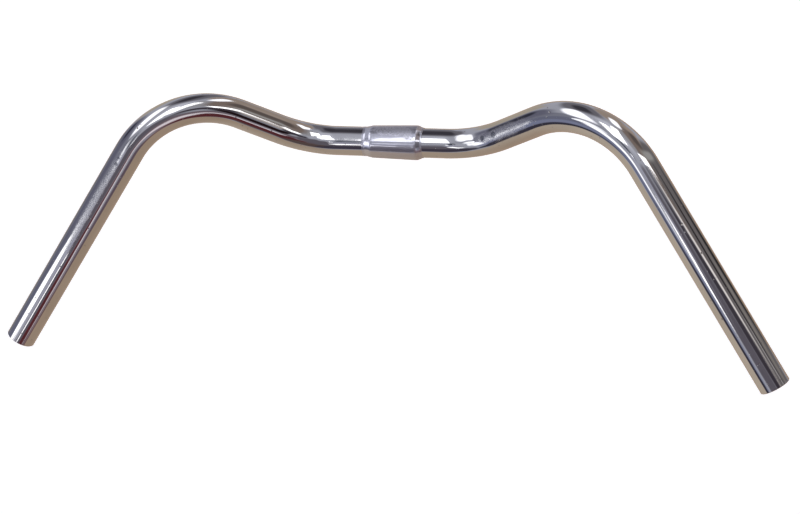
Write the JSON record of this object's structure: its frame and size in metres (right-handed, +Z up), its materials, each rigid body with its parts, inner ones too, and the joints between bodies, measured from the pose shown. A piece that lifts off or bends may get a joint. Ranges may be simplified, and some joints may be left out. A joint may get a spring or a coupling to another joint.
{
  "type": "handlebar",
  "caption": "Swept-back chromed steel handlebar, one bent round tube with open ends and a thicker clamp sleeve pressed on at its centre.",
  "frame": {"origin": "centre of the clamp sleeve, on the axis that a stem clamps", "axes": "+X along the clamp axis to the rider's right, +Y forward, +Z up; the grips are level and sweep back towards -Y"},
  "size_m": [0.591, 0.1993, 0.0723],
  "materials": {
    "tube_chrome": "bright decorative chrome plating on a steel tube, with fine handling scratches, small pits and nicks; dull steel inside the bore",
    "sleeve_chrome": "bright chrome plating over a less finely polished steel sleeve, slightly wavy, with clamp nicks near its edges"
  },
  "bodies": {
    "root": {"bar_tube": "tube_chrome", "centre_sleeve": "sleeve_chrome"}
  },
  "joints": []
}
